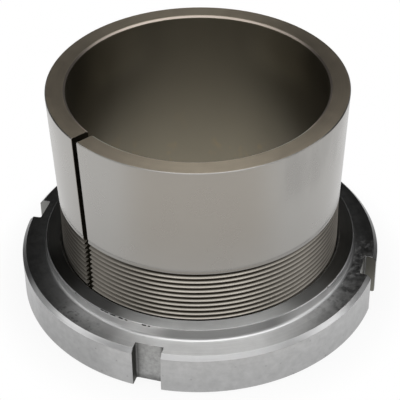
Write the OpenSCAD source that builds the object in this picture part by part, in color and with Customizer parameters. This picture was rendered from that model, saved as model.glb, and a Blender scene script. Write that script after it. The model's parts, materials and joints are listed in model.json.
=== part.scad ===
// Adapter sleeve with its lock nut, standing on the nut, axis along +Z.
// The sleeve is split along its whole length. Its outside is a slow taper that carries
// a bearing, with a fine thread below it, and its plain bore closes on a shaft.
// The origin is at the middle of the nut's bottom face. All sizes are in millimetres.

/* [Sleeve] */
// Diameter of the shaft bore
bore_d = 90; // [60:0.5:120]
// Wall of the sleeve under the thread's roots
thread_wall = 3.8; // [2.5:0.1:8]
// Length of the threaded end, up to the tapered seat
thread_len = 39.4; // [32:0.2:60]
// Length of the tapered seat
seat_len = 42.6; // [25:0.2:70]
// Length over which the seat's diameter grows by one unit
seat_taper = 12; // [8:1:30]
// How far the seat's small end stands proud of the thread's crests
seat_step = 0.2; // [0.1:0.05:0.6]
// Radial width of the bore's mouth chamfers
bore_chamfer_w = 1.0; // [0.4:0.1:1.6]
// Height of the bore's mouth chamfers
bore_chamfer_h = 0.6; // [0.3:0.1:1.5]
// Small chamfer round the rim's outer edge
rim_break = 0.3; // [0.1:0.05:0.8]
// Width of the split
split_w = 2.8; // [1:0.1:6]
// Direction of the split about the axis, in degrees from +X
split_angle = -124; // [-180:1:180]

/* [Thread] */
// Distance from one thread ridge to the next
thread_pitch = 2; // [1.5:0.1:3]
// Depth of the thread, from crest to root
thread_depth = 1.2; // [0.8:0.05:1.8]
// Width of the flat on a crest
crest_w = 0.4; // [0.2:0.05:0.7]
// Width of the flat at a root
root_w = 0.4; // [0.2:0.05:0.7]
// Plain band between the seat and the first thread groove
run_out = 0.1; // [0.05:0.05:1]
// Chamfer at the threaded end
end_chamfer = 1.0; // [0.3:0.1:1.4]
// Radial clearance between the sleeve's thread and the nut's
thread_gap = 0.4; // [0.2:0.05:0.6]

/* [Lock nut] */
// Height of the nut's outer ring
ring_h = 16; // [10:0.2:24]
// Height of the raised land above the outer ring
land_h = 4.4; // [2:0.1:9]
// Radial width of the land's flat face
land_w = 4.9; // [3:0.1:12]
// Radial width of the ledge from the land out to the outside
ledge_w = 9; // [7:0.1:18]
// Fillet at the foot of the land
land_fillet = 1.2; // [0.3:0.1:1.5]
// Radial width of the ledge's outer chamfer
ledge_chamfer_w = 1.4; // [0.5:0.1:3]
// Height of the ledge's outer chamfer
ledge_chamfer_h = 1.5; // [0.4:0.1:2.5]
// Chamfer round the nut's bottom edge
foot_chamfer = 0.5; // [0.2:0.1:1.5]
// Chamfer at both mouths of the nut's thread
mouth_chamfer = 0.7; // [0.3:0.1:1.4]
// How far the nut's bottom face stands below the sleeve's end
end_recess = 0.6; // [0:0.1:6]
// Number of spanner slots
slot_n = 4; // [2:1:8]
// Width of a spanner slot
slot_w = 10; // [6:0.5:16]
// Depth of a spanner slot, from the outside to its flat floor
slot_depth = 4.4; // [3:0.1:6]
// Rounding of the corners at a slot's floor
slot_corner = 0.6; // [0.3:0.1:2]

/* [Hidden] */
$fn = 180;
// Overlap that carries a cutting shape past the surface it cuts
past = 1;

// Radii of the sleeve
bore_r = bore_d / 2;
root_r = bore_r + thread_wall;
crest_r = root_r + thread_depth;
seat_small_r = crest_r + seat_step;
seat_big_r = seat_small_r + seat_len / seat_taper / 2;

// Heights of the sleeve
sleeve_z = end_recess;
seat_z = sleeve_z + thread_len;
rim_z = seat_z + seat_len;

// Half widths of a thread groove at its mouth and at its root
groove_half = (thread_pitch - crest_w) / 2;
root_half = root_w / 2;

// Middle heights of the thread's grooves, from the seat down
groove_top_z = seat_z - run_out - groove_half;
groove_room = groove_top_z - groove_half - (sleeve_z + end_chamfer);
groove_n = floor(groove_room / thread_pitch) + 1;
groove_zs = [for (k = [0 : groove_n - 1]) groove_top_z - k * thread_pitch];

// Radii of the lock nut
nut_minor_r = root_r + thread_gap;
nut_major_r = crest_r + thread_gap;
mouth_r = nut_major_r + mouth_chamfer;
land_r = mouth_r + land_w;
nut_r = land_r + ledge_w;
slot_floor_r = nut_r - slot_depth;

// Heights of the lock nut
land_z = ring_h + land_h;
mouth_low_z = mouth_chamfer;
mouth_high_z = land_z - mouth_chamfer;

// Heights of the nut's thread ridges: those of the pitch's steps that fit between its mouths
ridge_first = ceil((groove_top_z - (mouth_high_z - groove_half)) / thread_pitch);
ridge_last = floor((groove_top_z - (mouth_low_z + groove_half)) / thread_pitch);
ridge_zs = [for (k = [ridge_first : ridge_last]) groove_top_z - k * thread_pitch];

// One thread flank pair round height z, as radius and height, listed upwards
function thread_turn(z, base_r, tip_r) = [
    [base_r, z - groove_half],
    [tip_r, z - root_half],
    [tip_r, z + root_half],
    [base_r, z + groove_half],
];

// A list in the opposite order
function reversed(list) = [for (i = [len(list) - 1 : -1 : 0]) list[i]];

// Points of a quarter round that fills the corner between the ledge and the land
function foot_fillet(steps = 8) = [
    for (i = [0 : steps])
    let (turn = 270 - 90 * i / steps)
    [land_r + land_fillet + land_fillet * cos(turn), ring_h + land_fillet + land_fillet * sin(turn)]
];

// Half section of the sleeve: threaded end, tapered seat, rim and bore
module sleeve_section() {
    grooves = [
        for (z = reversed(groove_zs))
        each thread_turn(z, crest_r, root_r)
    ];
    polygon(concat(
        [
            [bore_r + bore_chamfer_w, sleeve_z],
            [crest_r - end_chamfer, sleeve_z],
            [crest_r, sleeve_z + end_chamfer],
        ],
        grooves,
        [
            [crest_r, seat_z],
            [seat_small_r, seat_z],
            [seat_big_r, rim_z - rim_break],
            [seat_big_r - rim_break, rim_z],
            [bore_r + bore_chamfer_w, rim_z],
            [bore_r, rim_z - bore_chamfer_h],
            [bore_r, sleeve_z + bore_chamfer_h],
        ]
    ));
}

// Half section of the lock nut: foot, outside, ledge, land and threaded bore
module nut_section() {
    ridges = [
        for (z = ridge_zs)
        each reversed(thread_turn(z, nut_major_r, nut_minor_r))
    ];
    polygon(concat(
        [
            [mouth_r, 0],
            [nut_r - foot_chamfer, 0],
            [nut_r, foot_chamfer],
            [nut_r, ring_h - ledge_chamfer_h],
            [nut_r - ledge_chamfer_w, ring_h],
        ],
        foot_fillet(),
        [
            [land_r, land_z],
            [mouth_r, land_z],
            [nut_major_r, mouth_high_z],
        ],
        ridges,
        [
            [nut_major_r, mouth_low_z],
        ]
    ));
}

// Plan of one spanner slot along +X, with rounded corners at its flat floor
module slot_plan() {
    corner_x = slot_floor_r + slot_corner;
    corner_y = slot_w / 2 - slot_corner;
    translate([corner_x, -slot_w / 2])
        square([slot_depth + past, slot_w]);
    translate([slot_floor_r, -corner_y])
        square([slot_corner + past, 2 * corner_y]);
    for (side = [-1, 1])
        translate([corner_x, side * corner_y])
            circle(r = slot_corner, $fn = 24);
}

// The split sleeve
module sleeve() {
    color("#a5a19a")
        difference() {
            rotate_extrude()
                sleeve_section();
            rotate([0, 0, split_angle])
                translate([0, -split_w / 2, sleeve_z - past])
                    cube([seat_big_r + past, split_w, rim_z - sleeve_z + 2 * past]);
        }
}

// The lock nut with its spanner slots
module lock_nut() {
    color("#a9a9a7")
        difference() {
            rotate_extrude()
                nut_section();
            for (k = [0 : slot_n - 1])
                rotate([0, 0, k * 360 / slot_n])
                    translate([0, 0, -past])
                        linear_extrude(height = ring_h + 2 * past)
                            slot_plan();
        }
}

sleeve();
lock_nut();
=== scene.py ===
"""A split adapter sleeve of turned steel with its slotted lock nut, on a pale floor."""
import json
import math

import bpy
import numpy as np
from mathutils import Matrix, Vector


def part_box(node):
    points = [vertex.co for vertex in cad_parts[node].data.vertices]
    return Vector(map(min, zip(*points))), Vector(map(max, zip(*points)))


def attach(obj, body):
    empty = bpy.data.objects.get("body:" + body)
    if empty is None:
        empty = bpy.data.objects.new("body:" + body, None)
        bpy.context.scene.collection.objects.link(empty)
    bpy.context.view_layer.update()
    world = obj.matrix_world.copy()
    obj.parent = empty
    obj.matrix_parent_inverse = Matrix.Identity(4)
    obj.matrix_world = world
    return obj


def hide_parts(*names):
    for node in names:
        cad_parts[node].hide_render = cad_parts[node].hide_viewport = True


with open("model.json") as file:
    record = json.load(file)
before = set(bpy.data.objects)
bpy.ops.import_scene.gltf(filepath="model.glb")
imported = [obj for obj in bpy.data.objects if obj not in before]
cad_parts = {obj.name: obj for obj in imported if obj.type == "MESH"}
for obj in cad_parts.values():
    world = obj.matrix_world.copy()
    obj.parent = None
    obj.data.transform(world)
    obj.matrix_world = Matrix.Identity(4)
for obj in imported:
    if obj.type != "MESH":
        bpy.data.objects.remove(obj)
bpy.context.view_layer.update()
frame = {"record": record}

# Sizes in millimetres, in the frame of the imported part
MM = 0.001
sleeve_low, sleeve_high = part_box("sleeve")
nut_low, nut_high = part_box("lock_nut")
mounts = {m["name"]: m for m in frame["record"]["mounts"]}

SLEEVE_Z = sleeve_low.z / MM
RIM_Z = sleeve_high.z / MM
LAND_Z = nut_high.z / MM
BORE_R = mounts["shaft_bore"]["dims"]["r_mm"]

THREAD_WALL = 3.8
THREAD_DEPTH = 1.2
THREAD_PITCH = 2.0
THREAD_GAP = 0.4
CREST_W = 0.4
ROOT_W = 0.4
RUN_OUT = 0.1
END_CHAMFER = 1.0
SEAT_LEN = 42.6
SEAT_TAPER = 12.0
SEAT_STEP = 0.2
BORE_CHAMFER_W = 1.0
BORE_CHAMFER_H = 0.6
RIM_BREAK = 0.3
SPLIT_W = 2.8
SPLIT_ANGLE = math.radians(-124)

RING_H = 16.0
LAND_W = 4.9
LEDGE_W = 9.0
LAND_FILLET = 1.2
LEDGE_CHAMFER_W = 1.4
LEDGE_CHAMFER_H = 1.5
FOOT_CHAMFER = 0.5
MOUTH_CHAMFER = 0.7
SLOT_N = 4
SLOT_W = 10.0
SLOT_DEPTH = 4.4
SLOT_CORNER = 0.6

ROOT_R = BORE_R + THREAD_WALL
CREST_R = ROOT_R + THREAD_DEPTH
SEAT_Z = RIM_Z - SEAT_LEN
SEAT_SMALL_R = CREST_R + SEAT_STEP
SEAT_BIG_R = SEAT_SMALL_R + SEAT_LEN / SEAT_TAPER / 2
NUT_MAJOR_R = CREST_R + THREAD_GAP
NUT_MINOR_R = ROOT_R + THREAD_GAP
MOUTH_R = NUT_MAJOR_R + MOUTH_CHAMFER
LAND_R = MOUTH_R + LAND_W
NUT_R = LAND_R + LEDGE_W
SLOT_FLOOR_R = NUT_R - SLOT_DEPTH

# Edges are broken by this much, and a corner's arc has this many steps
EDGE_BREAK = 0.12
SEAT_BREAK = 0.06
LAND_BREAK = 0.35
ARC_STEPS = 6
# Points closer than this are one, and a face lies on a level when it is closer than the next
WELD = 1e-4
ON_LEVEL = 0.01
# Edges that turn by more than this stay sharp in the shading
SHARP = math.radians(32)

# The camera: where it looks, in millimetres, and from where
CAMERA_AIM = (0.24, 0.07, 32.8)
CAMERA_DISTANCE = 526.5
CAMERA_AZIMUTH = math.radians(16.76)
CAMERA_ELEVATION = math.radians(37.29)
CAMERA_ROLL = math.radians(-0.81)
CAMERA_LENS = 131.4

# The side that faces the camera, in degrees round the axis. Tones that follow the photograph are
# placed from it in the materials, fixed to the part
# Many of the tones placed from it are painted light and shade
FRONT = math.degrees(CAMERA_AZIMUTH) - 90


# Curves of the sections

def rounded(corners):
    """A line of (radius, height) through corners, each given as (radius, height, rounding).
    A corner is replaced by an arc that meets both its sides at the same distance."""
    points = np.array([corner[:2] for corner in corners], float)
    out = []
    for i, (*_, rounding) in enumerate(corners):
        here = points[i]
        if rounding <= 0 or i in (0, len(corners) - 1):
            out.append(here[None])
            continue
        before = points[i - 1] - here
        after = points[i + 1] - here
        before /= np.linalg.norm(before)
        after /= np.linalg.norm(after)
        half = math.acos(np.clip(before @ after, -1, 1)) / 2
        reach = rounding / math.tan(half)
        middle = here + (before + after) / np.linalg.norm(before + after) * rounding / math.sin(half)
        start = here + before * reach - middle
        stop = here + after * reach - middle
        sweep = math.atan2(start[0] * stop[1] - start[1] * stop[0], start @ stop)
        turn = np.linspace(0, sweep, ARC_STEPS + 1)
        arc = np.column_stack([
            start[0] * np.cos(turn) - start[1] * np.sin(turn),
            start[0] * np.sin(turn) + start[1] * np.cos(turn),
        ])
        out.append(middle + arc)
    return np.concatenate(out)


def supported(line, near=0.12):
    """The same line with a point a little way in from both ends of each long stretch,
    so that flat faces stay flat in the shading."""
    step = line[1:] - line[:-1]
    length = np.linalg.norm(step, axis=1)
    out = []
    for start, along, size in zip(line[:-1], step, length):
        out.append(start[None])
        if size > 5 * near:
            share = np.array([near / size, 1 - near / size])
            out.append(start + share[:, None] * along)
    out.append(line[-1:])
    return np.concatenate(out)


def outward(loop):
    """Unit normals of a closed section that runs with its solid on the left."""
    along = np.roll(loop, -1, axis=0) - np.roll(loop, 1, axis=0)
    normal = np.column_stack([along[:, 1], -along[:, 0]])
    return normal / np.maximum(np.linalg.norm(normal, axis=1), 1e-9)[:, None]


def drawn_in(loop):
    """A closed section moved inwards by the edges' break; points that lie together stay together."""
    fresh = np.abs(loop - np.roll(loop, 1, axis=0)).max(1) > 1e-6
    single = loop[fresh]
    return (single - EDGE_BREAK * outward(single))[np.cumsum(fresh) - 1]


def smooth_step(x):
    """0 below 0, 1 above 1, and a smooth rise between."""
    x = np.clip(x, 0, 1)
    return x * x * (3 - 2 * x)


# Thread

# A ridge's corners are drawn in by this much, and dropped by this share of the depth
THREAD_SOFT = 0.1
THREAD_SOFT_DROP = 0.06
# Height over which the thread fades out at its ends
THREAD_FADE = 0.4
# The thread climbs as a screw between two heights, from a ridge at a height and an angle
SCREW_LOW_Z = 18.4
SCREW_HIGH_Z = SEAT_Z - 0.05
SCREW_RIDGE_Z = 38.06
SCREW_RIDGE_ANGLE = math.radians(-73.24)
# Inside the nut it is made of closed rings, up to a height, from the height of one ridge
RINGS_HIGH_Z = SCREW_LOW_Z - 0.2
RING_RIDGE_Z = SEAT_Z - RUN_OUT - (THREAD_PITCH - CREST_W) / 2 + THREAD_PITCH / 2


def thread_points():
    """One pitch of the thread: height from the ridge's middle, and share of the full depth."""
    crest, root = CREST_W / 2, THREAD_PITCH / 2 - ROOT_W / 2
    next_root = THREAD_PITCH - root
    up = np.array([
        -crest, -crest + THREAD_SOFT, crest - THREAD_SOFT, crest,
        root, root + THREAD_SOFT, next_root - THREAD_SOFT, next_root,
    ])
    high, low = THREAD_SOFT_DROP, 1 - THREAD_SOFT_DROP
    drop = np.array([high, 0.0, 0.0, high, low, 1.0, 1.0, low])
    return up, drop


def thread_rows(low, high, ridge_z, turn, climb):
    """Radii and heights of the thread between two heights, a row for each point of the section.
    turn is the angle of each column: the ridges climb one pitch a turn, or are closed rings."""
    up, drop = thread_points()
    first = math.floor((low - ridge_z) / THREAD_PITCH) - 1
    last = math.ceil((high - ridge_z) / THREAD_PITCH) + 1
    base = ridge_z + THREAD_PITCH * np.arange(first, last + 1)
    row_z = (base[:, None] + up).ravel()
    row_drop = np.tile(drop, len(base))
    rise = climb * THREAD_PITCH * turn / (2 * math.pi)
    z = np.clip(row_z[:, None] + rise[None, :], low, high)
    fade = smooth_step((z - low) / THREAD_FADE) * smooth_step((high - z) / THREAD_FADE)
    r = CREST_R - THREAD_DEPTH * row_drop[:, None] * fade
    inside = (z.max(1) > low) & (z.min(1) < high)
    return r[inside], z[inside]


# Meshes

def grid_faces(n_rows, n_cols, cols_close):
    """Quads of a grid of points stored row by row, with the rows closed to a loop and the solid on
    the left of the rows' order; also the row and the column of each quad."""
    i, j = np.meshgrid(np.arange(n_rows), np.arange(n_cols if cols_close else n_cols - 1), indexing="ij")
    i, j = i.ravel(), j.ravel()
    ii, jj = (i + 1) % n_rows, (j + 1) % n_cols
    return np.column_stack([i * n_cols + j, i * n_cols + jj, ii * n_cols + jj, ii * n_cols + j]), i, j


def welded(points, quads, mats):
    """Points that lie together become one, and faces that lose a side become triangles or go.
    Gives the points, faces and materials, the old number of each point and the new of each old one."""
    keys = np.round(points / WELD).astype(np.int64)
    _, first, back = np.unique(keys, axis=0, return_index=True, return_inverse=True)
    back = back.ravel()
    quads = back[quads]
    same = quads == np.roll(quads, -1, axis=1)
    crossed = (quads[:, 0] == quads[:, 2]) | (quads[:, 1] == quads[:, 3])
    whole = (same.sum(1) == 0) & ~crossed
    third = (same.sum(1) == 1) & ~crossed
    order = np.argsort(same[third], axis=1, kind="stable")[:, :3]
    order.sort(axis=1)
    thirds = np.take_along_axis(quads[third], order, axis=1)
    faces = quads[whole].tolist() + thirds.tolist()
    return points[first], faces, np.concatenate([mats[whole], mats[third]]), first, back


def make_piece(name, points, faces, mats, materials):
    """A mesh object at the origin from points in millimetres and lists of faces."""
    mesh = bpy.data.meshes.new(name)
    mesh.from_pydata((points * MM).tolist(), [], faces)
    mesh.polygons.foreach_set("material_index", np.asarray(mats, np.int32))
    mesh.polygons.foreach_set("use_smooth", np.ones(len(faces), bool))
    mesh.update()
    mesh.validate()
    mesh.set_sharp_from_angle(angle=SHARP)
    for material in materials:
        mesh.materials.append(material)
    piece = bpy.data.objects.new(name, mesh)
    bpy.context.scene.collection.objects.link(piece)
    return piece


# Shader nodes

def add_node(tree, kind, inputs=(), **settings):
    """A shader node with its settings; inputs are pairs of a socket and a value or an output."""
    node = tree.nodes.new("ShaderNode" + kind)
    for key, value in settings.items():
        setattr(node, key, value)
    for key, value in inputs:
        if isinstance(value, bpy.types.NodeSocket):
            tree.links.new(value, node.inputs[key])
        else:
            node.inputs[key].default_value = value
    return node


def calc(tree, operation, *values):
    """Output of a math node."""
    return add_node(tree, "Math", enumerate(values), operation=operation).outputs[0]


def times(tree, first, *others):
    """The product of numbers."""
    for other in others:
        first = calc(tree, "MULTIPLY", first, other)
    return first


def ease(tree, value, low, high, start=0.0, end=1.0):
    """A smooth change from start to end while the value goes from low to high."""
    inputs = [("Value", value), ("From Min", low), ("From Max", high), ("To Min", start), ("To Max", end)]
    return add_node(tree, "MapRange", inputs, interpolation_type="SMOOTHSTEP").outputs[0]


def tone_to(tree, share, end):
    """1 where the share is 0, with a smooth change to end where it is 1."""
    return ease(tree, share, 0.0, 1.0, 1.0, end)


def between(tree, share, first, second):
    """Number that goes from the first to the second."""
    return add_node(tree, "Mix", [(0, share), (2, first), (3, second)], data_type="FLOAT").outputs[0]


def blend(tree, share, first, second):
    """Colour that goes from the first to the second."""
    return add_node(tree, "Mix", [(0, share), (6, first), (7, second)], data_type="RGBA").outputs[2]


def scaled(tree, vector, size):
    """A colour or a vector times a number."""
    return add_node(tree, "VectorMath", [(0, vector), ("Scale", size)], operation="SCALE").outputs[0]


def noise(tree, place, scale, detail=2.0, roughness=0.5):
    """A cloud pattern about 0.5."""
    inputs = [("Vector", place), ("Scale", scale), ("Detail", detail), ("Roughness", roughness)]
    return add_node(tree, "TexNoise", inputs).outputs[0]


def swung(tree, pattern, swing, middle=1.0):
    """A pattern about 0.5 turned into a number that swings about the middle."""
    return calc(tree, "MULTIPLY_ADD", calc(tree, "SUBTRACT", pattern, 0.5), swing, middle)


class Round:
    """Places on a turned part: radius and height in millimetres, the direction round the axis, and
    vectors for patterns round it. side, wide and far are measured in the part's own frame, turned by
    the camera's azimuth: to the right of the side that faces the camera, and behind it."""

    def __init__(self, tree, shader=None):
        """Make the nodes that read the place in the tree of a material."""
        self.tree, self.shader = tree, shader
        self.place = scaled(tree, add_node(tree, "TexCoord").outputs["Object"], 1 / MM)
        self.x, self.y, self.height = add_node(tree, "SeparateXYZ", [(0, self.place)]).outputs
        flat = add_node(tree, "CombineXYZ", [(0, self.x), (1, self.y)]).outputs[0]
        self.radius = add_node(tree, "VectorMath", [(0, flat)], operation="LENGTH").outputs["Value"]
        self.angle = calc(tree, "ARCTAN2", self.y, self.x)
        self.way = add_node(tree, "VectorMath", [(0, flat)], operation="NORMALIZE").outputs[0]
        turned = add_node(tree, "VectorRotate", [("Vector", self.place), ("Angle", -CAMERA_AZIMUTH)],
                          rotation_type="Z_AXIS").outputs[0]
        self.side, self.far, _ = add_node(tree, "SeparateXYZ", [(0, turned)]).outputs
        self.wide = calc(tree, "ABSOLUTE", self.side)

    def grain_place(self, across, along):
        """Coordinates of fine lines round the axis, which change slowly along the line."""
        parts = add_node(self.tree, "SeparateXYZ", [(0, scaled(self.tree, self.way, along))]).outputs
        return add_node(self.tree, "CombineXYZ", [(0, parts[0]), (1, parts[1]), (2, across)]).outputs[0]


def away(tree, at, centre):
    """Angle from a direction round the axis, both in degrees."""
    turn = calc(tree, "WRAP", calc(tree, "SUBTRACT", at.angle, math.radians(centre)), math.pi, -math.pi)
    return calc(tree, "DEGREES", calc(tree, "ABSOLUTE", turn))


def sector(tree, at, centre, half):
    """1 in a sector round an angle in degrees, fading to 0 at its sides."""
    return ease(tree, away(tree, at, centre), 0.5 * half, half, 1.0, 0.0)


# Materials

# The fine turning lines: how often they change along a line, and how close they lie
LINE_CHANGE = 1.5
LINE_SCALE = 1.6
# Share of the roughness by which the patches change it
ROUGH_SWING = 0.25


def metal(name, anisotropy):
    """An empty metal with its rough direction across the turning marks."""
    material = bpy.data.materials.new(name)
    material.use_nodes = True
    tree = material.node_tree
    tree.nodes.clear()
    shader = add_node(tree, "BsdfPrincipled", [("Metallic", 1.0), ("Anisotropic", anisotropy)])
    add_node(tree, "OutputMaterial", [(0, shader.outputs[0])])
    if anisotropy:
        shader.inputs["Anisotropic Rotation"].default_value = 0.25
        tangent = add_node(tree, "Tangent", direction_type="RADIAL", axis="Z")
        tree.links.new(tangent.outputs[0], shader.inputs["Tangent"])
    return material, tree, shader


def steel(name, colour, roughness, anisotropy=0.0, grain="height", grain_tone=0.06, grain_lift=0.02,
          mottle=0.06, mottle_mm=3.0, edge=1.0, dull=0.0, marks=None):
    """Turned steel. Fine lines run round the axis, at each height of a wall or each radius of a
    flat face, and cloudy patches change the tone and the polish. marks adds the marks of a place,
    and the painted light and shade there."""
    material, tree, shader = metal(name, anisotropy)
    shader.inputs["Specular Tint"].default_value = (edge, edge, edge, 1)
    shader.inputs["Metallic"].default_value = 1 - dull
    at = Round(tree, shader)
    lines = noise(tree, at.grain_place(getattr(at, grain), LINE_CHANGE), LINE_SCALE, 2.0, 0.6)
    clouds = noise(tree, at.place, 1 / mottle_mm, 4.0, 0.6)
    tone = times(tree, swung(tree, lines, 2 * grain_tone), swung(tree, clouds, 2 * mottle))
    paint = scaled(tree, (*colour,), tone)
    rough = swung(tree, clouds, ROUGH_SWING * roughness, roughness)
    lift = lines
    if marks:
        paint, rough, lift = marks(tree, at, paint, rough, lift)
    tree.links.new(paint, shader.inputs["Base Color"])
    tree.links.new(rough, shader.inputs["Roughness"])
    if grain_lift:
        bump = add_node(tree, "Bump", [("Strength", 1.0), ("Distance", grain_lift * MM), ("Height", lift)])
        tree.links.new(bump.outputs[0], shader.inputs["Normal"])
    return material


def seat_smudge_and_painted_sheen(tree, at, colour, rough, lift):
    """The seat is a little brighter towards the rim and darker just above its small end, with a
    painted reflection that brightens its sides, and a smudge on one side.
    """
    # The lift at the sides is a painted reflection
    tone = times(tree, ease(tree, at.height, 42.0, 78.0, 0.96, 1.08),
                 ease(tree, at.wide, 44.0, 52.0, 1.0, 1.14),
                 ease(tree, at.height, SEAT_Z + 0.2, SEAT_Z + 2.4, 0.8, 1.0))
    smear = noise(tree, at.grain_place(times(tree, at.height, 0.05), 9.0), 1.0, 3.0)
    smudge = times(tree, sector(tree, at, FRONT + 51, 28.0), ease(tree, at.height, 52.0, 76.0),
                   ease(tree, smear, 0.35, 0.7, 0.5, 1.0))
    return scaled(tree, colour, times(tree, tone, tone_to(tree, smudge, 0.85))), rough, lift


def thread_painted_light(tree, at, colour, rough, lift):
    """Painted shade darkens the thread's roots and the underside of its ridges, most in front, and
    darkens both of its sides; a painted highlight brightens it towards its right-hand edge."""
    # Painted shade on both sides
    dimming = times(tree, ease(tree, at.side, -10.0, -36.0, 1.0, 0.48),
                 ease(tree, at.side, 12.0, 38.0, 1.0, 0.7))
    # Painted shade in the roots and under the ridges, darkest in front
    root = blend(tree, ease(tree, at.wide, 14.0, 36.0), (0.035, 0.03, 0.022, 1), (0.15, 0.138, 0.118, 1))
    depth = calc(tree, "SUBTRACT", CREST_R, at.radius)
    facing = add_node(tree, "TexCoord").outputs["Normal"]
    down = add_node(tree, "SeparateXYZ", [(0, facing)]).outputs[2]
    share = calc(tree, "MAXIMUM", ease(tree, depth, 0.05, 0.68), ease(tree, down, -0.1, -0.5))
    colour = blend(tree, share, scaled(tree, colour, dimming), root)
    # Painted highlight towards the right-hand edge
    return scaled(tree, colour, ease(tree, at.side, 37.0, 46.0, 1.0, 1.65)), rough, lift


def rim_tint_and_painted_light(tree, at, colour, rough, lift):
    """The rim is lighter towards the front, on the right and at both sides, and darker towards the
    back and at the split's edges: painted light and shade. The chamfer round the bore is greyer,
    with a painted highlight that grows away from the front and painted shade at the far sides."""
    # Painted light and shade across the rim
    tone = times(tree, ease(tree, at.y, -50.0, 50.0, 1.25, 0.78), ease(tree, at.x, 36.0, 51.0, 1.0, 1.22),
                 ease(tree, at.wide, 37.0, 50.0, 1.0, 1.28))
    # lit is a painted highlight on the chamfer, with painted shade at the far sides
    lit = times(tree, ease(tree, at.wide, 10.0, 28.0, 1.3, 1.8), ease(tree, at.wide, 35.0, 43.0, 1.0, 0.36))
    mouth = times(tree, ease(tree, at.height, RIM_Z - 0.05, RIM_Z - 0.15),
                  ease(tree, at.radius, BORE_R + BORE_CHAMFER_W, BORE_R + 0.8))
    colour = blend(tree, mouth, colour, (0.52, 0.452, 0.398, 1))
    # Painted shade at the split's edges
    across = calc(tree, "SUBTRACT", times(tree, at.x, math.sin(SPLIT_ANGLE)),
                  times(tree, at.y, math.cos(SPLIT_ANGLE)))
    split = times(tree, ease(tree, calc(tree, "ABSOLUTE", across), 1.62, 1.46), ease(tree, at.y, 0.0, -1.0))
    tone = times(tree, tone, between(tree, mouth, 1.0, lit), tone_to(tree, split, 0.25))
    return scaled(tree, colour, tone), rough, lift


def bore_wipes_and_painted_light(tree, at, colour, rough, lift):
    """The bore is a little lighter towards its lower end, with brown wipe marks low down. Its sides
    carry painted shade low down and a painted highlight high up."""
    wipe = noise(tree, at.grain_place(times(tree, at.height, 0.10), 6.0), 1.0, 3.0)
    share = times(tree, ease(tree, wipe, 0.55, 0.68), ease(tree, at.height, 45.0, 20.0), 0.45)
    colour = blend(tree, share, colour, (0.24, 0.18, 0.10, 1))
    # Painted shade on the sides, low down
    sides = times(tree, ease(tree, at.side, 12.0, 45.0, 1.0, 0.6),
                  ease(tree, at.side, -10.0, -36.0, 1.0, 0.85))
    dark = times(tree, calc(tree, "SUBTRACT", 1.0, sides), ease(tree, at.height, 74.0, 52.0))
    # Painted highlight on the sides, high up
    upper = times(tree, ease(tree, at.wide, 12.0, 28.0), ease(tree, at.wide, 43.0, 34.0),
                  ease(tree, at.height, 56.0, 72.0))
    tone = times(tree, ease(tree, at.height, 5.0, 62.0, 1.32, 0.86), tone_to(tree, upper, 1.45),
                 calc(tree, "SUBTRACT", 1.0, dark))
    return scaled(tree, colour, tone), rough, lift


def nick_marks(tree, colour):
    """The nicks are dark inside."""
    nick = add_node(tree, "Attribute", attribute_name="nick").outputs["Fac"]
    return blend(tree, ease(tree, nick, 0.25, 0.8), colour, (0.012, 0.012, 0.012, 1))


def edge_nicks_and_painted_light(tree, at, colour, rough, lift):
    """The turned corner at the foot of the land is a little rougher than the chamfer. Painted shade
    darkens the land's wall in front and away from it, the corner and the chamfer far round at the
    sides, and the land's top edge, most on the left; painted highlights brighten the corner at its
    foot and the chamfer part way round. Towards the back the corner and the chamfer are plain."""
    turn = away(tree, at, FRONT)
    near = ease(tree, turn, 140.0, 112.0)
    inner = ease(tree, at.radius, LAND_R + LAND_FILLET, LAND_R + 2.0, 1.0, 0.0)
    wall = times(tree, inner, ease(tree, at.height, RING_H + 0.3, RING_H + 1.0))
    # Painted shade on the land's wall in front
    dimming = sector(tree, at, FRONT + 7, 33.0)
    colour = blend(tree, wall, colour, blend(tree, dimming, (1.0, 1.0, 1.0, 1), (0.38, 0.38, 0.38, 1)))
    # Painted shade on the land's wall away from the front
    dim = times(tree, wall, ease(tree, turn, 18.0, 34.0, 0.0, 0.13))
    colour = scaled(tree, colour, calc(tree, "SUBTRACT", 1.0, dim))

    foot = calc(tree, "SUBTRACT", inner, wall)
    # A painted highlight on the corner at the foot, away from the front and weaker on the left
    bright = times(tree, near, ease(tree, turn, 16.0, 38.0))
    bright = times(tree, ease(tree, bright, 0.0, 1.0, 1.1, 1.75),
                   ease(tree, at.side, -8.0, -28.0, 1.0, 0.72))
    # Painted shade dims the land's top edge, most on the left
    top = times(tree, inner, ease(tree, at.height, LAND_Z - 0.5, LAND_Z - 0.32))
    faint = ease(tree, at.side, -14.0, -32.0, 0.9, 0.45)
    # Painted shade on the corner far round at the sides
    dark = times(tree, near, ease(tree, turn, 48.0, 95.0))
    corner = times(tree, between(tree, foot, 1.0, bright), between(tree, top, 1.0, faint),
                   tone_to(tree, sector(tree, at, FRONT + 38, 18.0), 0.88), tone_to(tree, dark, 0.3))

    # A painted highlight on the chamfer part way round, and painted shade beyond it
    chamfer_highlight = times(tree, near, ease(tree, turn, 26.0, 62.0))
    chamfer_side_shade = times(tree, near, ease(tree, turn, 58.0, 76.0))
    chamfer = times(tree, tone_to(tree, chamfer_highlight, 1.78), tone_to(tree, chamfer_side_shade, 0.13))
    colour = scaled(tree, colour, between(tree, inner, chamfer, corner))
    rough = ease(tree, inner, 0.0, 1.0, 0.28, 0.34)
    return nick_marks(tree, colour), rough, lift


def land_nicks_and_painted_shade(tree, at, colour, rough, lift):
    """Painted shade at both sides of the land, in cloudy patches and deepest on one side, and the
    nicks at its edge.
    """
    cloud = noise(tree, at.place, 0.12, 3.0)
    # Painted shade at both sides
    dimming = times(tree, sector(tree, at, -128.0, 32.0), ease(tree, cloud, 0.2, 0.6, 0.75, 1.0))
    tone = times(tree, tone_to(tree, dimming, 0.34), tone_to(tree, sector(tree, at, -12.0, 34.0), 0.64))
    return nick_marks(tree, scaled(tree, colour, tone)), rough, lift


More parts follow.
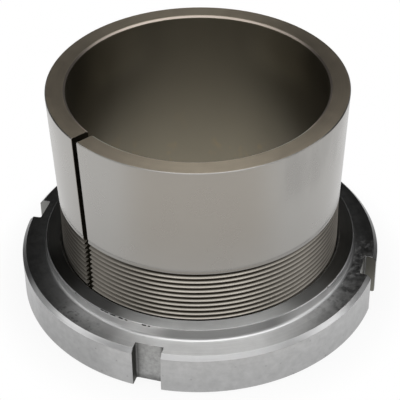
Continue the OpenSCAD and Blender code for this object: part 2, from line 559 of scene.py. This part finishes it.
def ledge_marks_and_painted_light(tree, at, colour, rough, lift):
    """Oil blotches and fine spots at the sides of the ledge, painted light and shade at its sides,
    lighter inwards and darker outwards, a darker patch at one place with dark strokes across it
    there, and dust, which takes away some of the metal's gloss."""
    oil = noise(tree, at.place, 0.24, 4.0, 0.62)
    upper = ease(tree, at.height, RING_H - 1.0, RING_H - 0.5)
    blotch = times(tree, ease(tree, oil, 0.3, 0.75), ease(tree, at.wide, 22.0, 46.0))
    # Painted light and shade at the sides of the ledge's top: lighter inwards, darker outwards
    painted_side_shading = between(tree, times(tree, ease(tree, at.wide, 24.0, 46.0), upper), 1.0,
                    ease(tree, at.radius, 58.0, 63.4, 1.18, 0.84))
    fine = noise(tree, at.place, 0.5, 4.0, 0.55)
    spots = times(tree, sector(tree, at, FRONT + 66, 25.0), ease(tree, fine, 0.4, 0.6, -0.7, 1.0),
                  ease(tree, oil, 0.35, 0.65, 0.1, 0.34))
    tone = times(tree, tone_to(tree, blotch, 0.76), painted_side_shading, calc(tree, "SUBTRACT", 1.0, spots),
                 tone_to(tree, sector(tree, at, FRONT - 45, 22.0), 0.77))
    strokes = noise(tree, at.grain_place(times(tree, at.radius, 0.9), 60.0), 1.0, 2.0)
    strokes = times(tree, ease(tree, strokes, 0.55, 0.68), sector(tree, at, -118.0, 11.0), upper,
                    ease(tree, at.radius, 57.5, 59.0), 0.45)
    colour = blend(tree, strokes, scaled(tree, colour, tone), (0.06, 0.06, 0.065, 1))
    dust = noise(tree, at.place, 0.6, 4.0, 0.65)
    place = calc(tree, "MAXIMUM", sector(tree, at, -4.0, 24.0), ease(tree, at.wide, 30.0, 50.0, 0.0, 0.22))
    dust = times(tree, ease(tree, dust, 0.38, 0.72), place)
    tree.links.new(ease(tree, dust, 0.0, 1.0, 0.985, 0.85), at.shader.inputs["Metallic"])
    return colour, rough, lift


def slot_wall_darkening(tree, at, colour, rough, lift):
    """The walls of the slot on the right are darker, and painted shade darkens one wall of the front
    slot.
    """
    colour = blend(tree, ease(tree, at.x, 50.0, 58.0, 0.0, 0.85), colour, (0.165, 0.16, 0.135, 1))
    # Painted shade on one wall of the front slot
    front_wall_shade = times(tree, ease(tree, at.y, -57.0, -60.0), ease(tree, at.x, 0.0, -2.0))
    return scaled(tree, colour, tone_to(tree, front_wall_shade, 0.65)), rough, lift


def slot_floor_darkening(tree, at, colour, rough, lift):
    """Painted shade darkens the slots' floors at their corners and low down, and one slot's floor is a
    little darker.
    """
    off = calc(tree, "MINIMUM", calc(tree, "ABSOLUTE", at.x), calc(tree, "ABSOLUTE", at.y))
    # Painted shade at the corners and low down
    tone = times(tree, ease(tree, off, 3.4, 4.7, 1.0, 0.42), ease(tree, at.height, 3.6, 0.4, 1.0, 0.5),
                 ease(tree, at.x, 50.0, 58.0, 1.0, 0.85))
    return scaled(tree, colour, tone), rough, lift


def pit_marks(tree, at, colour, rough, lift):
    """Small dark pits, a few to the square centimetre; the wall is a little darker low down and at
    one place.
    """
    cells = add_node(tree, "TexVoronoi", [("Vector", at.place), ("Scale", 0.42), ("Randomness", 1.0)])
    pick = noise(tree, at.place, 0.35, 1.0)
    pit = times(tree, ease(tree, cells.outputs["Distance"], 0.06, 0.24, 1.0, 0.0),
                ease(tree, pick, 0.50, 0.62))
    colour = blend(tree, times(tree, pit, 0.35), colour, (0.10, 0.10, 0.10, 1))
    dimming = times(tree, sector(tree, at, FRONT - 46, 22.0), ease(tree, pick, 0.3, 0.6, 0.7, 1.0))
    tone = times(tree, ease(tree, at.height, 2.0, 14.0, 0.93, 1.04), tone_to(tree, dimming, 0.83))
    return scaled(tree, colour, tone), rough, calc(tree, "SUBTRACT", lift, pit)


# Sleeve

SLEEVE_COLS = 220
# A fine turned line near the seat's small end: height above that end and depth, in millimetres
SEAT_LINE = ((0.5, 0.0), (0.8, 0.1), (1.2, 0.1), (1.6, 0.0))
# Plain length between the end's chamfer and the first ring
PLAIN_END = 0.3
# A column that lies clear of the split's edges
CLEAR_COL = 5
# Numbers of the sleeve's materials
SEAT, THREAD, RIM, BORE, SPLIT = range(5)


def build_sleeve(materials):
    """The section runs up the outside and down the bore, and is carried round the axis from one
    side of the split to the other. Between the seat and the nut the thread climbs as a screw.
    The split's sides are flat: at half its width from its middle plane whatever the radius."""
    share = np.concatenate([[0, 0], np.linspace(0, 1, SLEEVE_COLS)[1:-1], [1, 1]])
    turn = SPLIT_ANGLE + 2 * math.pi * share - SCREW_RIDGE_ANGLE
    n_cols = len(share)

    def level(line):
        """Radii and heights of a line that is the same in each column."""
        return np.repeat(line[:, 0:1], n_cols, 1), np.repeat(line[:, 1:2], n_cols, 1)

    foot = supported(rounded([
        (BORE_R + BORE_CHAMFER_W, SLEEVE_Z, 0),
        (CREST_R - END_CHAMFER, SLEEVE_Z, EDGE_BREAK),
        (CREST_R, SLEEVE_Z + END_CHAMFER, EDGE_BREAK),
        (CREST_R, SLEEVE_Z + END_CHAMFER + PLAIN_END, 0),
    ]))
    rings = thread_rows(foot[-1, 1], RINGS_HIGH_Z, RING_RIDGE_Z, turn, 0)
    screw = thread_rows(SCREW_LOW_Z, SCREW_HIGH_Z, SCREW_RIDGE_Z, turn, 1)
    seat = supported(rounded([
        (CREST_R, SEAT_Z, 0),
        (SEAT_SMALL_R, SEAT_Z, SEAT_BREAK),
        *[(SEAT_SMALL_R + up / SEAT_TAPER / 2 - deep, SEAT_Z + up, 0) for up, deep in SEAT_LINE],
        (SEAT_BIG_R, RIM_Z - RIM_BREAK, EDGE_BREAK),
        (SEAT_BIG_R - RIM_BREAK, RIM_Z, EDGE_BREAK),
        (BORE_R + BORE_CHAMFER_W, RIM_Z, EDGE_BREAK),
        (BORE_R, RIM_Z - BORE_CHAMFER_H, EDGE_BREAK),
        (BORE_R, SLEEVE_Z + BORE_CHAMFER_H, EDGE_BREAK),
        (BORE_R + BORE_CHAMFER_W, SLEEVE_Z, 0),
    ]))[:-1]
    r, z = [np.concatenate(rows) for rows in zip(level(foot), rings, screw, level(seat))]
    for col in (0, n_cols - 1):
        r[:, col], z[:, col] = drawn_in(np.stack([r[:, col], z[:, col]], 1)).T

    half = np.full(n_cols, SPLIT_W / 2 + EDGE_BREAK)
    half[[0, -1]] = SPLIT_W / 2
    start = np.arcsin(half / r)
    angle = SPLIT_ANGLE + start + share * (2 * math.pi - 2 * start)
    points = np.stack([r * np.cos(angle), r * np.sin(angle), z], -1).reshape(-1, 3)
    quads, row, _ = grid_faces(len(r), n_cols, False)

    middle_r = (r[:, CLEAR_COL] + np.roll(r[:, CLEAR_COL], -1)) / 2
    middle_z = (z[:, CLEAR_COL] + np.roll(z[:, CLEAR_COL], -1)) / 2
    zone = np.full(len(r), SEAT)
    zone[middle_z < SEAT_Z] = THREAD
    zone[(middle_z > RIM_Z - ON_LEVEL) | (middle_r < BORE_R + BORE_CHAMFER_W)] = RIM
    zone[middle_r < BORE_R + EDGE_BREAK] = BORE
    points, faces, mats, _, back = welded(points, quads, zone[row])
    first_col = np.arange(len(r)) * n_cols
    for cut in (back[first_col], back[first_col + n_cols - 1][::-1]):
        faces.append(cut[cut != np.roll(cut, 1)].tolist())
    mats = np.concatenate([mats, [SPLIT, SPLIT]])
    piece = make_piece("sleeve_turned", points, faces, mats, materials)
    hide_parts("sleeve")
    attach(piece, "sleeve")
    return piece


# Lock nut

NUT_COLS = 180
NUT_SLOT_COLS = 13
CORNER_COLS = 6
# Share of a quarter between its outermost columns, which keep the edge's shading narrow
EDGE_SHARE = 0.0016
# Nicks in the land's edge: place round the axis in degrees, length and depth in millimetres
NICKS = [
    (-123.9, 0.7, 0.12), (-110.3, 1.3, 0.16), (-108.4, 1.6, 0.13), (-105.6, 2.2, 0.15),
    (-102.4, 1.6, 0.17), (-100.2, 1.0, 0.12), (-93.4, 1.7, 0.15), (-91.6, 1.0, 0.14),
    (-21.0, 0.8, 0.12), (37.0, 1.1, 0.14), (121.0, 1.3, 0.13),
]
# A nick's middle lies this far below the land and reaches as far; at the full depth it is dark
NICK_REACH = 0.3
NICK_FULL = 0.12
# Share of a nick's depth that goes inwards, and the same downwards
NICK_LEAN = 0.7
# Extra rows near the land's edge and near the slots' floors, in millimetres
EDGE_ROWS = (0.45, 0.6, 0.8)
SLOT_ROWS = (0.6, 0.4, 0.2, 0.0, -0.15, -0.4)
# Radial length over which the slots' edges begin to be broken
SLOT_FADE = 0.4
# Faces that lean by more than this from upright are flat
FLAT_LEAN = math.radians(80)
# Numbers of the nut's materials
NUT_SIDE, NUT_LEDGE, NUT_EDGE, SLOT_FLOOR, SLOT_WALL, NUT_LAND = range(6)


def nut_loop():
    """Closed section of the nut: foot, outside, ledge, land and threaded bore."""
    outside = supported(rounded([
        (MOUTH_R, 0, 0),
        *[(SLOT_FLOOR_R + step, 0, 0) for step in SLOT_ROWS[::-1]],
        (NUT_R - FOOT_CHAMFER, 0, EDGE_BREAK),
        (NUT_R, FOOT_CHAMFER, EDGE_BREAK),
        (NUT_R, RING_H - LEDGE_CHAMFER_H, EDGE_BREAK),
        (NUT_R - LEDGE_CHAMFER_W, RING_H, EDGE_BREAK),
        *[(SLOT_FLOOR_R + step, RING_H, 0) for step in SLOT_ROWS],
        (LAND_R, RING_H, LAND_FILLET),
        *[(LAND_R, LAND_Z - step, 0) for step in EDGE_ROWS[::-1]],
        (LAND_R, LAND_Z, LAND_BREAK),
        *[(LAND_R - step, LAND_Z, 0) for step in EDGE_ROWS],
        (MOUTH_R, LAND_Z, EDGE_BREAK),
        (NUT_MAJOR_R, LAND_Z - MOUTH_CHAMFER, 0),
    ]))
    top = RING_RIDGE_Z - THREAD_PITCH / 2
    half, root = (THREAD_PITCH - CREST_W) / 2, ROOT_W / 2
    first = math.ceil((top - (LAND_Z - MOUTH_CHAMFER - half)) / THREAD_PITCH)
    last = math.floor((top - (MOUTH_CHAMFER + half)) / THREAD_PITCH)
    ridge_z = top - THREAD_PITCH * np.arange(first, last + 1)
    ridge_r = np.array([NUT_MAJOR_R, NUT_MINOR_R, NUT_MINOR_R, NUT_MAJOR_R])
    z = (ridge_z[:, None] + np.array([half, root, -root, -half])).ravel()
    ridges = np.column_stack([np.tile(ridge_r, len(ridge_z)), z])
    return np.concatenate([outside, ridges, [[NUT_MAJOR_R, MOUTH_CHAMFER]]])


def nick_depth(angle):
    """Depth of the nicks in the land's edge at an angle round the axis: a short smooth dent at each
    of a list of places."""
    depth = np.zeros_like(angle)
    for place, length, deep in NICKS:
        off = (angle - math.radians(place) + math.pi) % (2 * math.pi) - math.pi
        depth = np.maximum(depth, deep * smooth_step(1.5 - np.abs(off) * LAND_R / length * 2))
    return depth


def slot_floor(side):
    """Distance of a slot's floor from the axis, at a distance side from the slot's middle:
    flat, and rounded up into the walls."""
    over = np.clip(np.abs(side) - (SLOT_W / 2 - SLOT_CORNER), 0, SLOT_CORNER)
    return SLOT_FLOOR_R + SLOT_CORNER - np.sqrt(SLOT_CORNER ** 2 - over ** 2)


def slot_sides():
    """Distances of a slot's columns from its middle: close together in both rounded corners."""
    half = SLOT_W / 2
    corner = SLOT_CORNER * (1 - np.cos(np.linspace(0, math.pi / 2, CORNER_COLS)))
    floor = np.linspace(-half + SLOT_CORNER, half - SLOT_CORNER, NUT_SLOT_COLS)[1:-1]
    return np.concatenate([-half + corner, floor, half - corner[::-1]])


def build_nut(materials):
    """The section is carried round the axis. In a slot it is cut back to the slot's floor, and at
    a slot's wall the whole section and the cut one lie in one plane, so the wall is flat."""
    loop = nut_loop()
    broken = smooth_step((loop[:, 0] - SLOT_FLOOR_R) / SLOT_FADE)[:, None]
    inset = loop - EDGE_BREAK * broken * outward(loop)
    half = SLOT_W / 2
    quarter = 2 * math.pi / SLOT_N
    plain = np.linspace(0, 1, NUT_COLS - 2)[1:-1]
    shares = np.concatenate([[0, EDGE_SHARE], plain, [1 - EDGE_SHARE, 1]])
    sides = slot_sides()

    def ring_column(section, wall, share, base):
        """The section at a share of the way from one slot's wall to the next one's."""
        start = np.arcsin(wall / section[:, 0])
        angle = base + start + share * (quarter - 2 * start)
        return np.column_stack([section[:, 0] * np.cos(angle), section[:, 0] * np.sin(angle), section[:, 1]])

    def slot_column(side, base):
        """The section cut back to the slot's floor, at a distance from the slot's middle."""
        reach = np.minimum(np.sqrt(loop[:, 0] ** 2 - side ** 2), slot_floor(side))
        x = reach * math.cos(base) - side * math.sin(base)
        y = reach * math.sin(base) + side * math.cos(base)
        return np.column_stack([x, y, loop[:, 1]])

    columns = []
    for k in range(SLOT_N):
        base = k * quarter
        columns += [slot_column(side, base) for side in sides]
        columns.append(ring_column(inset, half, 0, base))
        columns += [ring_column(loop, half + EDGE_BREAK, share, base) for share in shares]
        columns.append(ring_column(inset, half, 1, base))
    grid = np.stack(columns, 1)

    radius = np.hypot(grid[..., 0], grid[..., 1])
    off_edge = np.hypot(radius - LAND_R, grid[..., 2] - LAND_Z + NICK_REACH)
    dent = nick_depth(np.arctan2(grid[..., 1], grid[..., 0])) * smooth_step(1.4 - off_edge / NICK_REACH)
    grid[..., :2] *= 1 - dent[..., None] / radius[..., None] * NICK_LEAN
    grid[..., 2] -= dent * NICK_LEAN

    quads, row, col = grid_faces(len(loop), len(columns), True)
    step = np.roll(loop, -1, axis=0) - loop
    middle = loop + step / 2
    lean = np.arctan2(-step[:, 0], step[:, 1])
    upper = (middle[:, 1] > RING_H - LEDGE_CHAMFER_H) & (middle[:, 0] > NUT_MAJOR_R)
    zone = np.full(len(loop), NUT_SIDE)
    zone[upper] = np.where(lean[upper] < FLAT_LEAN, NUT_EDGE, NUT_LEDGE)
    zone[middle[:, 1] > LAND_Z - ON_LEVEL] = NUT_LAND
    zone[middle[:, 1] < ON_LEVEL] = NUT_LEDGE
    mats = zone[row]
    per_quarter = len(sides) + NUT_COLS + 2
    place = col % per_quarter
    wall = (place == len(sides) - 1) | (place == per_quarter - 1)
    in_slot = (wall | (place < len(sides))) & (middle[row, 0] > SLOT_FLOOR_R)
    mats[in_slot] = SLOT_FLOOR
    mats[in_slot & wall] = SLOT_WALL

    points, faces, mats, kept, _ = welded(grid.reshape(-1, 3), quads, mats)
    piece = make_piece("lock_nut_turned", points, faces, mats, materials)
    mark = piece.data.attributes.new("nick", "FLOAT", "POINT")
    mark.data.foreach_set("value", (dent / NICK_FULL).ravel()[kept].astype(np.float32))
    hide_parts("lock_nut")
    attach(piece, "nut")
    return piece


# Stage

LAMP_HEIGHT = 1.2
FLOOR_REACH = 6000.0
FLOOR_Z = -0.05
WHITE = (1, 1, 1, 1)
FLOOR_GREY = (0.93, 0.93, 0.93, 1)
# Colour of the floor before the object as the metal shows it, a painted shadow, and how dim the
# room and the floor are behind it; the floor's dimming is painted shade
FRONT_FLOOR_SHADOW = (0.86, 0.82, 0.77, 1)
BACK_DIM = 0.4
BACK_FLOOR_DIM = 0.5 * BACK_DIM
# Brightness of the room by the height of the direction
WORLD_STOPS = [(0.0, 1.0), (0.1, 0.7), (0.24, 0.02), (1.0, 0.01)]


def build_floor():
    """A wide flat sheet under the nut, as a grid of two by two points. It is matt and takes the
    object's shadow, and away from the object it shows plain white to the camera; in the metal it
    shows a painted shadow before the object and painted shade far behind it."""
    xs, ys = np.meshgrid([-FLOOR_REACH, FLOOR_REACH], [-FLOOR_REACH, FLOOR_REACH])
    points = np.stack([xs, ys, np.full_like(xs, FLOOR_Z)], -1).reshape(-1, 3)
    mesh = bpy.data.meshes.new("floor")
    mesh.from_pydata((points * MM).tolist(), [], [(0, 1, 3, 2)])
    floor = bpy.data.objects.new("floor", mesh)
    bpy.context.scene.collection.objects.link(floor)
    material = bpy.data.materials.new("pale_floor")
    material.use_nodes = True
    tree = material.node_tree
    tree.nodes.clear()
    matt = add_node(tree, "BsdfDiffuse", [("Color", FLOOR_GREY)])
    at = Round(tree)
    rays = add_node(tree, "LightPath").outputs
    # A painted shadow before the object and painted shade far behind it, seen only in the metal
    before = times(tree, sector(tree, at, FRONT, 60.0), ease(tree, at.radius, 80.0, 110.0))
    behind = times(tree, ease(tree, at.radius, 140.0, 195.0), ease(tree, at.far, 20.0, 70.0))
    shade = scaled(tree, blend(tree, before, WHITE, FRONT_FLOOR_SHADOW), tone_to(tree, behind, BACK_FLOOR_DIM))
    shade = blend(tree, rays["Is Camera Ray"], shade, WHITE)
    plain = add_node(tree, "Emission", [("Color", shade), ("Strength", 1.0)])
    seen = calc(tree, "MAXIMUM", rays["Is Camera Ray"], rays["Is Glossy Ray"])
    seen = calc(tree, "MAXIMUM", seen, rays["Is Transmission Ray"])
    share = times(tree, seen, ease(tree, at.radius, 66.0, 84.0, 0.89, 1.0))
    both = add_node(tree, "MixShader", [(0, share), (1, matt.outputs[0]), (2, plain.outputs[0])])
    add_node(tree, "OutputMaterial", [(0, both.outputs[0])])
    mesh.materials.append(material)
    return floor


def build_world():
    """A dark room round the white table: bright near the horizon only, and dim behind the table.
    The camera sees it white."""
    world = bpy.data.worlds.new("studio")
    bpy.context.scene.world = world
    world.use_nodes = True
    tree = world.node_tree
    tree.nodes.clear()
    way = add_node(tree, "TexCoord").outputs["Generated"]
    height = add_node(tree, "SeparateXYZ", [(0, way)]).outputs[2]
    ramp = add_node(tree, "ValToRGB", [(0, height)])
    stops = ramp.color_ramp.elements
    stops[0].position, stops[1].position = WORLD_STOPS[0][0], WORLD_STOPS[-1][0]
    for position, _ in WORLD_STOPS[1:-1]:
        stops.new(position)
    for stop, (_, level) in zip(stops, WORLD_STOPS):
        stop.color = (level, level, level, 1)
    behind = Vector((-math.sin(CAMERA_AZIMUTH), math.cos(CAMERA_AZIMUTH), 0))
    far = add_node(tree, "VectorMath", [(0, way), (1, behind)], operation="DOT_PRODUCT").outputs["Value"]
    level = scaled(tree, ramp.outputs[0], ease(tree, far, -0.1, 0.6, 1.0, BACK_DIM))
    seen = add_node(tree, "LightPath").outputs["Is Camera Ray"]
    back = add_node(tree, "Background", [(0, blend(tree, seen, level, WHITE)), (1, 1.0)])
    add_node(tree, "OutputWorld", [(0, back.outputs[0])])


def add_lamp(name, side, depth, size, radiance):
    """A level soft lamp over the table, side to the camera's right of the axis and depth behind it,
    in metres; the radiance is that of its face."""
    data = bpy.data.lights.new(name, "AREA")
    data.shape = "RECTANGLE"
    data.size, data.size_y = size
    data.energy = radiance * math.pi * size[0] * size[1]
    lamp = bpy.data.objects.new(name, data)
    bpy.context.scene.collection.objects.link(lamp)
    place = Matrix.Translation((side, depth, LAMP_HEIGHT))
    lamp.matrix_world = Matrix.Rotation(CAMERA_AZIMUTH, 4, "Z") @ place
    return lamp


def build_camera():
    """The camera looks at a point near the axis, from an azimuth and elevation, with a slight roll."""
    azimuth, elevation, roll = CAMERA_AZIMUTH, CAMERA_ELEVATION, CAMERA_ROLL
    back = Vector((
        math.sin(azimuth) * math.cos(elevation),
        -math.cos(azimuth) * math.cos(elevation),
        math.sin(elevation),
    ))
    level = Vector((math.cos(azimuth), math.sin(azimuth), 0))
    upright = back.cross(level)
    right = level * math.cos(roll) + upright * math.sin(roll)
    up = back.cross(right)
    place = Vector(CAMERA_AIM) + back * CAMERA_DISTANCE
    data = bpy.data.cameras.new("camera")
    data.sensor_width = 36.0
    data.lens = CAMERA_LENS
    data.clip_start = 0.01
    data.clip_end = 100
    camera = bpy.data.objects.new("camera", data)
    bpy.context.scene.collection.objects.link(camera)
    turn = Matrix((right, up, back)).transposed().to_4x4()
    camera.matrix_world = Matrix.Translation(place * MM) @ turn
    bpy.context.scene.camera = camera


bpy.context.scene.view_settings.view_transform = "Standard"
build_camera()
build_floor()
build_world()
add_lamp("softbox_above", 0.08, -0.15, (1.1, 0.9), 2.2)
add_lamp("softbox_wide", 0.08, -0.05, (3.2, 0.8), 0.3)
add_lamp("softbox_front", 0.1, -1.35, (2.5, 1.5), 1.1)
add_lamp("softbox_left", -2.0, -0.3, (1.8, 1.3), 1.25)
add_lamp("softbox_right", 2.0, -0.3, (1.8, 1.3), 1.4)

build_sleeve([
    steel("seat_steel", (0.355, 0.345, 0.328), 0.28, 0.2, grain_tone=0.006, grain_lift=0,
          mottle=0.035, mottle_mm=16.0, marks=seat_smudge_and_painted_sheen),
    steel("thread_steel", (0.55, 0.512, 0.455), 0.35, 0.3, edge=0.35, marks=thread_painted_light),
    steel("rim_steel", (0.52, 0.455, 0.36), 0.50, 0.5, grain="radius", grain_lift=0.01, marks=rim_tint_and_painted_light),
    steel("bore_steel", (0.168, 0.151, 0.114), 0.40, 0.3, grain_tone=0.004, grain_lift=0, mottle=0.04,
          mottle_mm=8.0, marks=bore_wipes_and_painted_light),
    # The split's cut walls are near black: painted shade in the narrow slit
    steel("split_steel", (0.055, 0.051, 0.040), 0.50, 0.0, grain_tone=0.03, mottle=0.2, edge=0.2),
])
build_nut([
    steel("nut_side_steel", (0.45, 0.45, 0.45), 0.45, 0.0, grain_tone=0.03, mottle=0.24, mottle_mm=3.0,
          marks=pit_marks),
    steel("nut_ledge_steel", (0.66, 0.66, 0.655), 0.45, 0.97, grain="radius", grain_tone=0.1,
          mottle=0.14, mottle_mm=5.0, marks=ledge_marks_and_painted_light),
    steel("nut_edge_steel", (0.56, 0.56, 0.56), 0.32, 0.0, marks=edge_nicks_and_painted_light),
    steel("slot_steel", (0.36, 0.36, 0.355), 0.45, 0.0, grain_tone=0.02, mottle=0.5, mottle_mm=1.2,
          marks=slot_floor_darkening),
    steel("slot_wall_steel", (0.26, 0.26, 0.25), 0.45, 0.0, grain_tone=0.02, mottle=0.2, edge=0.3,
          marks=slot_wall_darkening),
    steel("nut_land_steel", (0.64, 0.645, 0.64), 0.36, 1.0, grain="radius", grain_tone=0.1, dull=0.01,
          marks=land_nicks_and_painted_shade),
])
